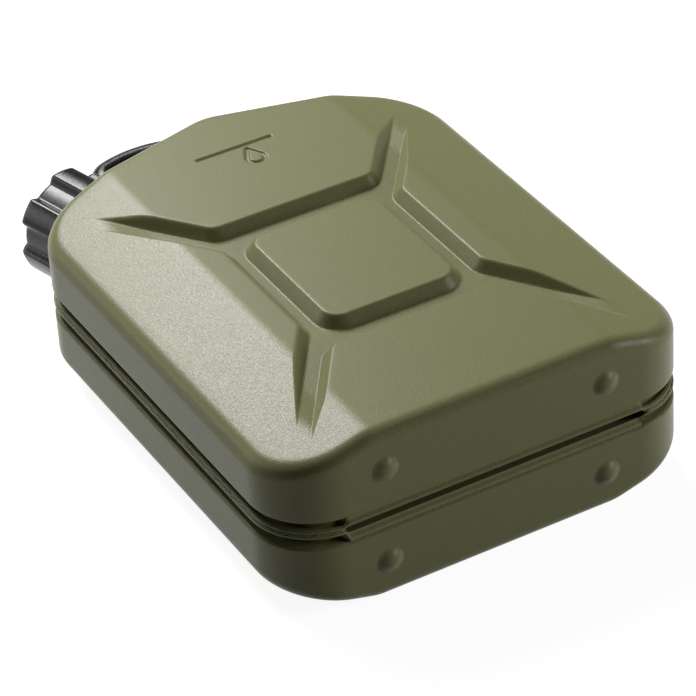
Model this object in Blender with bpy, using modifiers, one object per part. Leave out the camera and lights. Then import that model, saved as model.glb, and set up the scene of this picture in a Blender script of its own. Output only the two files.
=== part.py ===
"""Two litre steel fuel canister, lying on its back face with the cap end towards +Y.

Two stamped shells meet in a recessed seam. A filler neck with a lobed screw cap stands square
to the left slope of the top, and a bow handle is pinned to a bracket on each slope.
Metres, +Z up. The origin is under the middle of the bounding box, on the surface that the
canister lies on.
"""
import bpy
import bmesh
from math import atan2, cos, pi, radians, sin, sqrt, tan
from mathutils import Vector

MM = 0.001
GAP = 0.3 * MM
SMOOTH_BELOW = radians(35)

# Tank, seen from its front face. Sizes in y are measured from the middle of the raised square.
THICKNESS = 71.4 * MM
HALF_WIDTH = 84.8 * MM
BASE_DROP = 98.8 * MM
PEAK_RISE = 118.3 * MM
ROOF_ANGLE = radians(15)
BASE_CORNER_R = 25.3 * MM
SHOULDER_R = 27.2 * MM
PEAK_R = 22.3 * MM
SHEET = 0.9 * MM

# Faces: flat in the middle, sloping down to both sides outside soft creases, with a round rim.
SLOPE_WIDTH = 35.7 * MM
CREASE_BLEND = 2.5 * MM
SIDE_ANGLE = radians(14.8)
RIM_R = 5.2 * MM

# Stamped channel: a ring round the raised square, with four arms that run out in the slopes.
CHANNEL_DEPTH = 4.5 * MM
CHANNEL_WALL_RUN = 3.5 * MM
CHANNEL_EDGE = 0.8 * MM
SQUARE_HALF_X = 26.3 * MM
SQUARE_HALF_Y = 30.9 * MM
SQUARE_CORNER_R = 7 * MM
RING_FLOOR_X = 4.3 * MM
RING_FLOOR_Y = 6.0 * MM
ARM_FLOOR = 5.6 * MM
ARM_STEP = 0.9 * MM
ARM_ANGLE_TOP = radians(53.5)
ARM_ANGLE_BASE = radians(56)
PANEL_CORNER_R = 5 * MM

# Seam: a recess all round the sides, with both weld flanges in it, flared at their edges.
SEAM_HALF_GAP = 4.9 * MM
SEAM_HALF_GAP_BASE = 6.0 * MM
SEAM_DEPTH = 6.6 * MM
SEAM_DEPTH_BASE = 4.2 * MM
SEAM_STEP_IN = 0.4 * MM
SEAM_STEP_RUN = 0.7 * MM
SEAM_RISE_RUN = 1.4 * MM
LIP = 0.8 * MM
FLANGE_INSET = 1.1 * MM
FLARE_WIDTH = 1.5 * MM
FLARE_RUN = 0.8 * MM
FLARE_RISE = 0.75 * MM

# Domed feet pressed into the base wall.
FOOT_FROM_SIDE = 40.2 * MM
FOOT_FROM_FACE = 16 * MM
FOOT_R = 4.75 * MM
FOOT_RISE = 2.2 * MM

# Filler neck and its collar. Heights are measured from the left slope.
NECK_FROM_SHOULDER = 37.6 * MM
NECK_BORE_R = 11.0 * MM
NECK_WALL = 2.2 * MM
NECK_REACH = 12 * MM
NECK_RISE = 23.2 * MM
NECK_RIM = 0.7 * MM
COLLAR_LEDGE = 3.5 * MM
COLLAR_LEDGE_HEIGHT = 3.0 * MM
COLLAR_WALL = 1.3 * MM
COLLAR_HEIGHT = 8.0 * MM
COLLAR_EDGE = 0.6 * MM

# Cap: six lobes round a socket, with a sealing disc at its end.
CAP_LOBES = 6
CAP_LOBE_TURN = radians(39)
CAP_CREST_R = 22 * MM
CAP_LOBE_DEPTH = 2.7 * MM
CAP_CREST_SHARE = 0.5
CAP_BLEND_SHARE = 0.12
CAP_HEIGHT = 20.1 * MM
CAP_TOP = 3.5 * MM
CAP_RIM_R = 2.4 * MM
CAP_SKIRT_EDGE = 0.5 * MM
CAP_THREAD_ROOM = 2.6 * MM
GASKET_THICKNESS = 1.8 * MM

# Handle: a round bar. Its bow is highest beside the neck, then it follows the right slope.
HANDLE_R = 5.0 * MM
HANDLE_FROM_NECK = 28 * MM
HANDLE_RIGHT_ALONG = 48 * MM
HANDLE_RISE = 33.5 * MM
HANDLE_BOW_R = 41.6 * MM
HANDLE_BOW_BACK = 10.0 * MM
HANDLE_LEFT_BEND = 1.0 * MM
HANDLE_RIGHT_BEND = 10 * MM
BRACKET_SHEET = 1.5 * MM
BRACKET_LENGTH = 11 * MM
BRACKET_BASE_WIDTH = 26 * MM
BRACKET_CORNER_R = 2 * MM
PIN_R = 1.9 * MM
PIN_HEIGHT = 7 * MM
PIN_HEAD_R = 3.3 * MM
PIN_HEAD = 1.3 * MM

MID_Z = THICKNESS / 2
CREASE_X = HALF_WIDTH - SLOPE_WIDTH
FOOT_X = HALF_WIDTH - FOOT_FROM_SIDE
NECK_ALONG = HALF_WIDTH / cos(ROOF_ANGLE) - NECK_FROM_SHOULDER
PEAK = Vector((0, PEAK_RISE))
ALONG_LEFT = Vector((cos(ROOF_ANGLE), sin(ROOF_ANGLE)))
UP_LEFT = Vector((-sin(ROOF_ANGLE), cos(ROOF_ANGLE)))
ALONG_RIGHT = Vector((cos(ROOF_ANGLE), -sin(ROOF_ANGLE)))
UP_RIGHT = Vector((sin(ROOF_ANGLE), cos(ROOF_ANGLE)))
NECK_R = NECK_BORE_R + NECK_WALL
CAP_SOCKET_R = NECK_R + CAP_THREAD_ROOM
GASKET_TOP = NECK_RISE + GAP + GASKET_THICKNESS
CAP_END = GASKET_TOP + GAP + CAP_TOP
BOW_CENTRE = PEAK - ALONG_RIGHT * HANDLE_BOW_BACK + UP_RIGHT * (HANDLE_RISE - HANDLE_BOW_R)
LEFT_FOOT = PEAK - ALONG_LEFT * (NECK_ALONG - HANDLE_FROM_NECK)
RIGHT_FOOT = PEAK + ALONG_RIGHT * HANDLE_RIGHT_ALONG
LEG_START = GAP + BRACKET_SHEET + GAP
PIN_GRIP = HANDLE_R + GAP + BRACKET_SHEET + GAP

MATERIALS = {
    "olive_paint": ((0.25, 0.26, 0.14), 0.5, 0.2),
    "black_plastic": ((0.012, 0.012, 0.013), 0.25, 0.0),
    "bare_steel": ((0.56, 0.56, 0.57), 0.35, 1.0),
    "rubber": ((0.02, 0.02, 0.02), 0.8, 0.0),
}


def clear_scene():
    for thing in list(bpy.data.objects):
        bpy.data.objects.remove(thing, do_unlink=True)


def make_collection(name):
    group = bpy.data.collections.new(name)
    bpy.context.scene.collection.children.link(group)
    return group


def make_material(name):
    colour, roughness, metallic = MATERIALS[name]
    material = bpy.data.materials.new(name)
    material.use_nodes = True
    shader = material.node_tree.nodes["Principled BSDF"]
    shader.inputs["Base Color"].default_value = (*colour, 1)
    shader.inputs["Roughness"].default_value = roughness
    shader.inputs["Metallic"].default_value = metallic
    return material


def make_empty(name, location, rotation=(0, 0, 0), parent=None):
    empty = bpy.data.objects.new(name, None)
    empty.location = location
    empty.rotation_euler = rotation
    empty.parent = parent
    parts.objects.link(empty)
    return empty


def add_part(name, mesh, look, parent):
    """A finished sub-part. look names its material."""
    part = bpy.data.objects.new(name, mesh)
    part.parent = parent
    parts.objects.link(part)
    mesh.materials.clear()
    mesh.materials.append(looks[look])
    return part


def add_cutter(name, mesh, parent):
    """A guide solid that a Boolean uses. It isn't a sub-part."""
    cutter = bpy.data.objects.new(name, mesh)
    cutter.parent = parent
    cutter.hide_render = True
    cutter.display_type = "WIRE"
    cutters.objects.link(cutter)
    return cutter


def boolean(thing, other, operation="DIFFERENCE"):
    modifier = thing.modifiers.new(other.name, "BOOLEAN")
    modifier.object = other
    modifier.operation = operation
    modifier.solver = "EXACT"


def mesh_from(name, bm):
    mesh = bpy.data.meshes.new(name)
    bm.to_mesh(mesh)
    bm.free()
    mesh.shade_smooth()
    mesh.set_sharp_from_angle(angle=SMOOTH_BELOW)
    return mesh


def applied_mesh(thing):
    """The mesh that an object's modifiers or its curve come to, in the object's own space."""
    graph = bpy.context.evaluated_depsgraph_get()
    return bpy.data.meshes.new_from_object(thing.evaluated_get(graph))


def rounded_outline(corners, offset=0.0):
    """Points of a closed outline with round corners, moved outwards by offset.

    corners holds (x, y, radius, steps) counter-clockwise. A corner may turn either way.
    """
    points = []
    for i, (x, y, radius, steps) in enumerate(corners):
        corner = Vector((x, y))
        back = (Vector(corners[i - 1][:2]) - corner).normalized()
        ahead = (Vector(corners[(i + 1) % len(corners)][:2]) - corner).normalized()
        half_angle = back.angle(ahead) / 2
        turn = 1 if back.cross(ahead) < 0 else -1
        centre = corner + (back + ahead).normalized() * (radius / sin(half_angle))
        first = corner + back * (radius / tan(half_angle)) - centre
        start = atan2(first.y, first.x)
        sweep = turn * (pi - 2 * half_angle)
        for step in range(steps + 1):
            angle = start + sweep * step / steps
            points.append(centre + Vector((cos(angle), sin(angle))) * (radius + turn * offset))
    return points


def loft(rings):
    """A closed solid through rings of equally many points, the lowest ring first."""
    bm = bmesh.new()
    loops = [[bm.verts.new(point) for point in ring] for ring in rings]
    for low, high in zip(loops, loops[1:]):
        for i in range(len(low)):
            bm.faces.new((low[i - 1], low[i], high[i], high[i - 1]))
    bm.faces.new(list(reversed(loops[0])))
    bm.faces.new(loops[-1])
    return bm


def turned_mesh(name, profile, closed=True):
    """Mesh line of a turned shape, (radius, height) down its outer side."""
    points = [(radius, 0, height) for radius, height in profile]
    edges = [(i, i + 1) for i in range(len(points) - 1)]
    if closed:
        edges.append((len(points) - 1, 0))
    mesh = bpy.data.meshes.new(name)
    mesh.from_pydata(points, edges, [])
    return mesh


def screw(thing, steps):
    modifier = thing.modifiers.new("turn", "SCREW")
    modifier.axis = "Z"
    modifier.steps = steps
    modifier.render_steps = steps
    modifier.use_merge_vertices = True
    modifier.merge_threshold = 0.00001
    modifier.use_smooth_shade = True


def plate_mesh(name, points, thickness):
    """A flat outline, thickened evenly to both sides of its plane, as a welded mesh."""
    curve = bpy.data.curves.new(name, "CURVE")
    curve.dimensions = "2D"
    curve.fill_mode = "BOTH"
    curve.extrude = thickness / 2
    spline = curve.splines.new("POLY")
    spline.points.add(len(points) - 1)
    for target, point in zip(spline.points, points):
        target.co = (point.x, point.y, 0, 1)
    spline.use_cyclic_u = True
    return welded_mesh(name, curve)


def welded_mesh(name, curve):
    """A curve's mesh, with its caps welded on. The curve is removed."""
    guide = bpy.data.objects.new(name, curve)
    parts.objects.link(guide)
    bm = bmesh.new()
    bm.from_mesh(applied_mesh(guide))
    bmesh.ops.remove_doubles(bm, verts=bm.verts, dist=0.000001)
    bpy.data.objects.remove(guide, do_unlink=True)
    bpy.data.curves.remove(curve)
    return mesh_from(name, bm)


def cylinder_mesh(name, radius, depth, segments):
    """A cylinder along local z, with its middle at the origin."""
    bm = bmesh.new()
    bmesh.ops.create_cone(bm, cap_ends=True, segments=segments, radius1=radius, radius2=radius,
                          depth=depth)
    return mesh_from(name, bm)


def tank_ring(inset, height, base_inset=None, base_height=None):
    """One ring round the tank's side, moved inwards by inset.

    Along the base, short of its corners, the ring can step to an inset and a height of its own.
    """
    shoulder_y = PEAK_RISE - tan(ROOF_ANGLE) * HALF_WIDTH
    corners = [
        (-HALF_WIDTH, -BASE_DROP, BASE_CORNER_R, 9),
        (HALF_WIDTH, -BASE_DROP, BASE_CORNER_R, 9),
        (HALF_WIDTH, shoulder_y, SHOULDER_R, 8),
        (0, PEAK_RISE, PEAK_R, 4),
        (-HALF_WIDTH, shoulder_y, SHOULDER_R, 8),
    ]
    ring = [Vector((point.x, point.y, height)) for point in rounded_outline(corners, -inset)]
    step_start = HALF_WIDTH - BASE_CORNER_R - SEAM_STEP_IN
    step_end = step_start - SEAM_STEP_RUN
    rise_end = step_end - SEAM_RISE_RUN
    base_y = -BASE_DROP + (inset if base_inset is None else base_inset)
    base_z = height if base_height is None else base_height
    base = [
        Vector((-step_start, -BASE_DROP + inset, height)),
        Vector((-step_end, base_y, height)),
        Vector((-rise_end, base_y, base_z)),
        Vector((rise_end, base_y, base_z)),
        Vector((step_end, base_y, height)),
        Vector((step_start, -BASE_DROP + inset, height)),
    ]
    first_corner = corners[0][3] + 1
    return ring[:first_corner] + base + ring[first_corner:]


def side_drop(x):
    """How far the face lies below its flat middle at x."""
    past = abs(x) - CREASE_X
    if past <= -CREASE_BLEND:
        return 0.0
    if past < CREASE_BLEND:
        return tan(SIDE_ANGLE) * (past + CREASE_BLEND) ** 2 / (4 * CREASE_BLEND)
    return tan(SIDE_ANGLE) * past


def half_tank():
    """The front half's outer form as a closed solid, its middle plane at z = 0."""
    root = GAP / 2 + SHEET
    edge = root + FLARE_RISE
    rings = [
        tank_ring(FLANGE_INSET, 0),
        tank_ring(FLANGE_INSET, edge),
        tank_ring(FLANGE_INSET + FLARE_WIDTH, edge),
        tank_ring(FLANGE_INSET + FLARE_WIDTH + FLARE_RUN, root),
        tank_ring(SEAM_DEPTH, root, SEAM_DEPTH_BASE),
        tank_ring(SEAM_DEPTH, SEAM_HALF_GAP, SEAM_DEPTH_BASE, SEAM_HALF_GAP_BASE),
        tank_ring(LIP, SEAM_HALF_GAP, LIP, SEAM_HALF_GAP_BASE),
        tank_ring(0, SEAM_HALF_GAP + LIP, 0, SEAM_HALF_GAP_BASE + LIP),
    ]
    rim_foot = MID_Z - RIM_R
    rim_steps = 5
    for step in range(rim_steps + 1):
        angle = pi / 2 * step / rim_steps
        rings.append(tank_ring(RIM_R * (1 - cos(angle)), rim_foot + RIM_R * sin(angle)))
    bm = loft(rings)
    for side in (-1, 1):
        for x in (CREASE_X - CREASE_BLEND, CREASE_X, CREASE_X + CREASE_BLEND):
            verts = [vert for vert in bm.verts if vert.co.z > rim_foot - GAP]
            edges = [edge for edge in bm.edges if all(vert in verts for vert in edge.verts)]
            faces = [face for face in bm.faces if all(vert in verts for vert in face.verts)]
            bmesh.ops.bisect_plane(bm, geom=verts + edges + faces, dist=1e-6,
                                   plane_co=(side * x, 0, 0), plane_no=(1, 0, 0))
    for vert in bm.verts:
        if vert.co.z > rim_foot - GAP:
            vert.co.z -= side_drop(vert.co.x)
    return bm


def channel_corners():
    """Outer edge of the channel's floor: a ring round the square, and four arms."""
    side_x = SQUARE_HALF_X + CHANNEL_WALL_RUN + RING_FLOOR_X
    end_y = SQUARE_HALF_Y + CHANNEL_WALL_RUN + RING_FLOOR_Y
    reach = HALF_WIDTH + RIM_R - side_x
    panel_r = PANEL_CORNER_R + CHANNEL_WALL_RUN + CHANNEL_EDGE
    corners = []
    for side, end, angle in ((-1, -1, ARM_ANGLE_BASE), (1, -1, ARM_ANGLE_BASE),
                             (1, 1, ARM_ANGLE_TOP), (-1, 1, ARM_ANGLE_TOP)):
        rise = tan(angle)
        width = ARM_FLOOR / cos(angle)
        low_y = end_y - ARM_STEP * rise - width
        arm = [
            (side * side_x, end * low_y, panel_r, 5),
            (side * (side_x + reach), end * (low_y + reach * rise), CHANNEL_EDGE, 1),
            (side * (side_x + reach), end * (low_y + reach * rise + width), CHANNEL_EDGE, 1),
            (side * (side_x + ARM_STEP), end * end_y, panel_r, 5),
        ]
        corners += arm if side * end > 0 else reversed(arm)
    return corners


def channel_side(name, corners, lean, floor_offset, below, above):
    """Solid inside one wall of the channel, with the wall's soft upper edge.

    lean is 1 where the wall leans outwards as it rises and -1 where it leans inwards, and
    corners lie floor_offset inside the wall's foot.
    """
    run = CHANNEL_WALL_RUN / CHANNEL_DEPTH
    profile = [
        (-run * below, MID_Z - CHANNEL_DEPTH - below),
        (run * (CHANNEL_DEPTH - CHANNEL_EDGE), MID_Z - CHANNEL_EDGE),
        (CHANNEL_WALL_RUN + CHANNEL_EDGE, MID_Z),
        (CHANNEL_WALL_RUN + CHANNEL_EDGE, MID_Z + above),
    ]
    rings = []
    for offset, height in profile:
        outline = rounded_outline(corners, floor_offset + lean * offset)
        rings.append([Vector((point.x, point.y, height)) for point in outline])
    return mesh_from(name, loft(rings))


def foot_dome(bm, x):
    """Adds the whole ball of a domed foot. Most of it is inside the half tank."""
    radius = (FOOT_R ** 2 + FOOT_RISE ** 2) / (2 * FOOT_RISE)
    ball = bmesh.ops.create_uvsphere(bm, u_segments=14, v_segments=14, radius=radius)
    centre = Vector((x, -BASE_DROP - FOOT_RISE + radius, MID_Z - FOOT_FROM_FACE))
    for vert in ball["verts"]:
        east, north, up = vert.co
        vert.co = centre + Vector((east, up, -north))


def build_shells():
    """Both stamped halves: an open skin, thickened inwards, with half of the neck's hole."""
    form = add_cutter("half_tank_form", mesh_from("half_tank", half_tank()), canister)
    balls = bmesh.new()
    for x in (-FOOT_X, FOOT_X):
        foot_dome(balls, x)
    feet = add_cutter("feet_form", mesh_from("feet", balls), canister)
    channel_mesh = channel_side("channel", channel_corners(), 1, 0, 0, RIM_R)
    channel = add_cutter("channel_form", channel_mesh, canister)
    square = [
        (-SQUARE_HALF_X, -SQUARE_HALF_Y, SQUARE_CORNER_R, 5),
        (SQUARE_HALF_X, -SQUARE_HALF_Y, SQUARE_CORNER_R, 5),
        (SQUARE_HALF_X, SQUARE_HALF_Y, SQUARE_CORNER_R, 5),
        (-SQUARE_HALF_X, SQUARE_HALF_Y, SQUARE_CORNER_R, 5),
    ]
    square_mesh = channel_side("square", square, -1, CHANNEL_WALL_RUN, SHEET, 2 * RIM_R)
    boolean(channel, add_cutter("square_form", square_mesh, canister))
    boolean(form, feet, "UNION")
    boolean(form, channel)
    hole_mesh = cylinder_mesh("neck_hole", NECK_R + GAP, 2 * (NECK_REACH + SHEET), 32)
    hole = add_cutter("neck_hole", hole_mesh, neck_axis)
    for name, side in (("front_shell", 1), ("back_shell", -1)):
        bm = bmesh.new()
        bm.from_mesh(applied_mesh(form))
        lid = [face for face in bm.faces if min(vert.co.z for vert in face.verts) < GAP / 4]
        bmesh.ops.delete(bm, geom=lid, context="FACES")
        if side < 0:
            bmesh.ops.scale(bm, vec=(1, 1, -1), verts=bm.verts)
            bmesh.ops.reverse_faces(bm, faces=bm.faces)
        shell = add_part(name, mesh_from(name, bm), "olive_paint", canister)
        solidify = shell.modifiers.new("sheet", "SOLIDIFY")
        solidify.thickness = SHEET
        solidify.offset = -1
        solidify.use_even_offset = True
        solidify.use_quality_normals = True
        boolean(shell, hole)


def build_neck():
    """Tube through the hole in the top, with a rounded mouth."""
    profile = [
        (NECK_R - NECK_RIM, NECK_RISE),
        (NECK_R, NECK_RISE - NECK_RIM),
        (NECK_R, -NECK_REACH),
        (NECK_BORE_R, -NECK_REACH),
        (NECK_BORE_R, NECK_RISE - NECK_RIM),
        (NECK_BORE_R + NECK_RIM, NECK_RISE),
    ]
    neck = add_part("filler_neck", turned_mesh("filler_neck", profile), "olive_paint", neck_axis)
    screw(neck, 32)


def build_collar():
    """Stepped ring round the neck. It covers the seam's recess where the neck crosses it."""
    inner = NECK_R + GAP
    step = inner + COLLAR_WALL
    ledge = inner + COLLAR_LEDGE
    profile = [
        (step - COLLAR_EDGE, COLLAR_HEIGHT),
        (step, COLLAR_HEIGHT - COLLAR_EDGE),
        (step, COLLAR_LEDGE_HEIGHT),
        (ledge - COLLAR_EDGE, COLLAR_LEDGE_HEIGHT),
        (ledge, COLLAR_LEDGE_HEIGHT - COLLAR_EDGE),
        (ledge, GAP),
        (inner, GAP),
        (inner, COLLAR_HEIGHT),
    ]
    collar = add_part("neck_collar", turned_mesh("neck_collar", profile), "olive_paint", neck_axis)
    screw(collar, 32)


def lobe_r(angle):
    """Radius of the cap's grip at an angle: a wide crest, a narrow valley, soft flanks."""
    turn = (angle - CAP_LOBE_TURN) * CAP_LOBES / (2 * pi)
    from_crest = abs(turn - round(turn)) * 2
    flank = (from_crest - CAP_CREST_SHARE) / CAP_BLEND_SHARE
    flank = min(1, max(0, flank / 2 + 0.5))
    return CAP_CREST_R - CAP_LOBE_DEPTH * flank ** 2 * (3 - 2 * flank)


def build_cap():
    """Lobed screw cap with a rounded outer rim and a plain socket where its thread is."""
    steps = 12 * CAP_LOBES
    foot = CAP_END - CAP_HEIGHT
    profile = [(CAP_SKIRT_EDGE, foot), (0, foot + CAP_SKIRT_EDGE)]
    rim_steps = 3
    for step in range(rim_steps + 1):
        angle = pi / 2 * step / rim_steps
        profile.append((CAP_RIM_R * (1 - cos(angle)), CAP_END - CAP_RIM_R * (1 - sin(angle))))
    rings = []
    for inset, height in profile:
        ring = []
        for step in range(steps):
            angle = CAP_LOBE_TURN + 2 * pi * step / steps
            radius = lobe_r(angle) - inset
            ring.append(Vector((radius * cos(angle), radius * sin(angle), height)))
        rings.append(ring)
    cap = add_part("cap", mesh_from("cap", loft(rings)), "black_plastic", cap_lift)
    depth = GASKET_TOP + GAP - foot
    socket_mesh = cylinder_mesh("cap_socket", CAP_SOCKET_R, 2 * depth, 32)
    socket = add_cutter("cap_socket", socket_mesh, cap_lift)
    socket.location.z = foot
    boolean(cap, socket)


def build_gasket():
    """Sealing disc that lies in the end of the cap's socket, against the neck's mouth."""
    radius = CAP_SOCKET_R - GAP
    bottom = GASKET_TOP - GASKET_THICKNESS
    profile = [(0, GASKET_TOP), (radius, GASKET_TOP), (radius, bottom), (0, bottom)]
    gasket = add_part("cap_gasket", turned_mesh("cap_gasket", profile, closed=False), "rubber", cap_lift)
    screw(gasket, 32)


def arc(centre, radius, start, end, steps):
    """Points on an arc between two angles, both ends included."""
    angles = [start + (end - start) * step / steps for step in range(steps + 1)]
    return [centre + Vector((cos(angle), sin(angle))) * radius for angle in angles]


def handle_path():
    """Centre line: up beside the neck, over the bow, down along the right slope to its leg."""
    left_r = HANDLE_R + HANDLE_LEFT_BEND
    bend_along = (LEFT_FOOT - BOW_CENTRE).dot(ALONG_LEFT) + left_r
    bend_up = sqrt((HANDLE_BOW_R - left_r) ** 2 - bend_along ** 2)
    left_bend = BOW_CENTRE + ALONG_LEFT * bend_along + UP_LEFT * bend_up
    leave = ROOF_ANGLE + atan2(bend_up, bend_along)
    right_r = HANDLE_R + HANDLE_RIGHT_BEND
    right_bend = RIGHT_FOOT - ALONG_RIGHT * right_r + UP_RIGHT * (HANDLE_RISE - right_r)
    crest = pi / 2 - ROOF_ANGLE
    path = [LEFT_FOOT + UP_LEFT * LEG_START]
    path += arc(left_bend, left_r, pi + ROOF_ANGLE, leave, 5)
    path += arc(BOW_CENTRE, HANDLE_BOW_R, leave, crest, 7)[1:]
    path += arc(right_bend, right_r, crest, -ROOF_ANGLE, 6)
    path.append(RIGHT_FOOT + UP_RIGHT * LEG_START)
    return path


def build_handle():
    """Bent round bar, cut from a bevelled curve, with a hole for the pin in each leg."""
    curve = bpy.data.curves.new("handle", "CURVE")
    curve.dimensions = "3D"
    curve.bevel_depth = HANDLE_R
    curve.bevel_resolution = 4
    curve.use_fill_caps = True
    path = handle_path()
    spline = curve.splines.new("POLY")
    spline.points.add(len(path) - 1)
    for target, point in zip(spline.points, path):
        target.co = (point.x, point.y, 0, 1)
    handle = add_part("handle", welded_mesh("handle", curve), "black_plastic", canister)
    for foot in feet_axes.values():
        drill(handle, foot)


def drill(thing, foot):
    """Cuts the pin's hole across a foot of the handle."""
    name = "hole_" + thing.name + "_" + foot.name
    hole = add_cutter(name, cylinder_mesh(name, PIN_R + GAP, 3 * PIN_GRIP, 16), foot)
    hole.location.y = PIN_HEIGHT
    boolean(thing, hole)


def build_bracket(side):
    """Base plate across the seam's recess, with a round-topped cheek on each side of the leg."""
    foot = feet_axes[side]
    name = "handle_bracket_" + side
    half_length = BRACKET_LENGTH / 2
    base_corners = []
    for x, y in ((-1, -1), (1, -1), (1, 1), (-1, 1)):
        base_corners.append((x * half_length, y * BRACKET_BASE_WIDTH / 2, BRACKET_CORNER_R, 3))
    base_mesh = plate_mesh(name, rounded_outline(base_corners), BRACKET_SHEET)
    base = add_part(name, base_mesh, "olive_paint", foot)
    base.rotation_euler.x = -pi / 2
    base.location.y = GAP + BRACKET_SHEET / 2
    cheek = arc(Vector((0, PIN_HEIGHT)), half_length, 0, pi, 10)
    sunk = GAP + BRACKET_SHEET / 2
    cheek += [Vector((-half_length, sunk)), Vector((half_length, sunk))]
    for across in (-1, 1):
        cheek_name = name + "_cheek_" + ("low" if across < 0 else "high")
        plate = add_cutter(cheek_name, plate_mesh(cheek_name, cheek, BRACKET_SHEET), foot)
        plate.location.z = across * (HANDLE_R + GAP + BRACKET_SHEET / 2)
        boolean(base, plate, "UNION")
    drill(base, foot)


def build_pin(side):
    """Rivet through both cheeks and the leg, with a low head at each end."""
    end = PIN_GRIP + PIN_HEAD
    profile = [
        (0, end),
        (PIN_HEAD_R - PIN_HEAD / 2, end),
        (PIN_HEAD_R, end - PIN_HEAD / 2),
        (PIN_HEAD_R, PIN_GRIP),
        (PIN_R, PIN_GRIP),
        (PIN_R, -PIN_GRIP),
        (PIN_HEAD_R, -PIN_GRIP),
        (PIN_HEAD_R, PIN_HEAD / 2 - end),
        (PIN_HEAD_R - PIN_HEAD / 2, -end),
        (0, -end),
    ]
    name = "handle_pin_" + side
    pin = add_part(name, turned_mesh(name, profile, closed=False), "bare_steel", feet_axes[side])
    pin.location.y = PIN_HEIGHT
    screw(pin, 16)


clear_scene()
parts = make_collection("fuel_canister")
cutters = make_collection("cutters")
looks = {name: make_material(name) for name in MATERIALS}

lowest_y = -BASE_DROP - FOOT_RISE
highest_y = BOW_CENTRE.y + HANDLE_BOW_R + HANDLE_R
canister = make_empty("canister", (0, -(lowest_y + highest_y) / 2, MID_Z))
neck_foot = PEAK - ALONG_LEFT * NECK_ALONG
neck_axis = make_empty("neck_axis", neck_foot.to_3d(), (-pi / 2, 0, ROOF_ANGLE), canister)
cap_lift = make_empty("cap_lift", (0, 0, 0), (0, 0, 0), neck_axis)
feet_axes = {
    "left": make_empty("left_foot", LEFT_FOOT.to_3d(), (0, 0, ROOF_ANGLE), canister),
    "right": make_empty("right_foot", RIGHT_FOOT.to_3d(), (0, 0, -ROOF_ANGLE), canister),
}

build_shells()
build_neck()
build_collar()
build_cap()
build_gasket()
build_handle()
for handle_side in feet_axes:
    build_bracket(handle_side)
    build_pin(handle_side)
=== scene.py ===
from math import atan2, ceil, cos, degrees, pi, radians, sin, sqrt, tan

import bmesh
import bpy
import numpy as np
from mathutils import Matrix, Vector
from mathutils.geometry import delaunay_2d_cdt


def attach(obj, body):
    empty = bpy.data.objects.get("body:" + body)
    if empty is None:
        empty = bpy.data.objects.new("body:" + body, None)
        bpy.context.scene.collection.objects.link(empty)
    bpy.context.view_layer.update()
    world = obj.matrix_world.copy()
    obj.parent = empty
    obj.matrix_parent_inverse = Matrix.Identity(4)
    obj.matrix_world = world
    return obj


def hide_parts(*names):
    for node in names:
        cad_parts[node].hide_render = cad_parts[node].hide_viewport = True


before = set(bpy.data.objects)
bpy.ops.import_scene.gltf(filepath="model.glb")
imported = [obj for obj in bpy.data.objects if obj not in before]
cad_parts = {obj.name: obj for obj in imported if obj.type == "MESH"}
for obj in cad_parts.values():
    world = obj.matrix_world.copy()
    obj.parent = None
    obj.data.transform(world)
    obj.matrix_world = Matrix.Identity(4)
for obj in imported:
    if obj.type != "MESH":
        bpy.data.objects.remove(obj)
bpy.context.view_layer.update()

# All sizes are millimetres and degrees until a mesh is made.
mm = 0.001
print("canister: frame loaded")


# the tank: x across, y from the base to the neck, z out of the front face
tank = {
    "thickness": 71.4,
    "halfWidth": 84.8,
    "baseDrop": 98.8,
    "peakRise": 118.3,
    "roofAngle": 15,
    "baseCornerR": 25.3,
    "shoulderR": 27.2,
    "peakR": 22.3,
    "sheet": 0.9,
    "shellGap": 0.3,
    "slopeWidth": 35.7,
    "creaseBlend": 2.5,
    "sideAngle": 14.8,
    "rimR": 5.2,
    "rimSteps": 9,
    "baseSpacing": 0.6,
    "outlineSpacing": 2.5,
    "middleY": 29.332,  # how far the frame's origin lies above the tank's own
}
midZ = tank["thickness"] / 2
shoulderY = tank["peakRise"] - tan(radians(tank["roofAngle"])) * tank["halfWidth"]


def linkPiece(name, mesh, material, body="tank"):
    piece = bpy.data.objects.new(name, mesh)
    bpy.context.scene.collection.objects.link(piece)
    mesh.materials.clear()
    mesh.materials.append(material)
    if body:
        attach(piece, body)
    return piece


def plainMesh(name, points, faces, weld=0.0):
    # points are in the tank's own millimetres, with z measured from the seam
    mesh = bpy.data.meshes.new(name)
    places = [(x * mm, (y - tank["middleY"]) * mm, (z + midZ) * mm) for x, y, z in points]
    mesh.from_pydata(places, [], faces)
    if weld:
        welded = bmesh.new()
        welded.from_mesh(mesh)
        bmesh.ops.remove_doubles(welded, verts=welded.verts, dist=weld * mm)
        bmesh.ops.recalc_face_normals(welded, faces=welded.faces)
        welded.to_mesh(mesh)
        welded.free()
    mesh.shade_smooth()
    return mesh


def ringFaces(first, rings, count):
    # quads between rings of points that follow one another
    faces = []
    for ring in range(rings - 1):
        low, high = first + ring * count, first + (ring + 1) * count
        for i in range(count):
            j = (i + 1) % count
            faces.append((low + i, low + j, high + j, high + i))
    return faces


def evaluatedMesh(thing):
    graph = bpy.context.evaluated_depsgraph_get()
    return bpy.data.meshes.new_from_object(thing.evaluated_get(graph))


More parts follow.
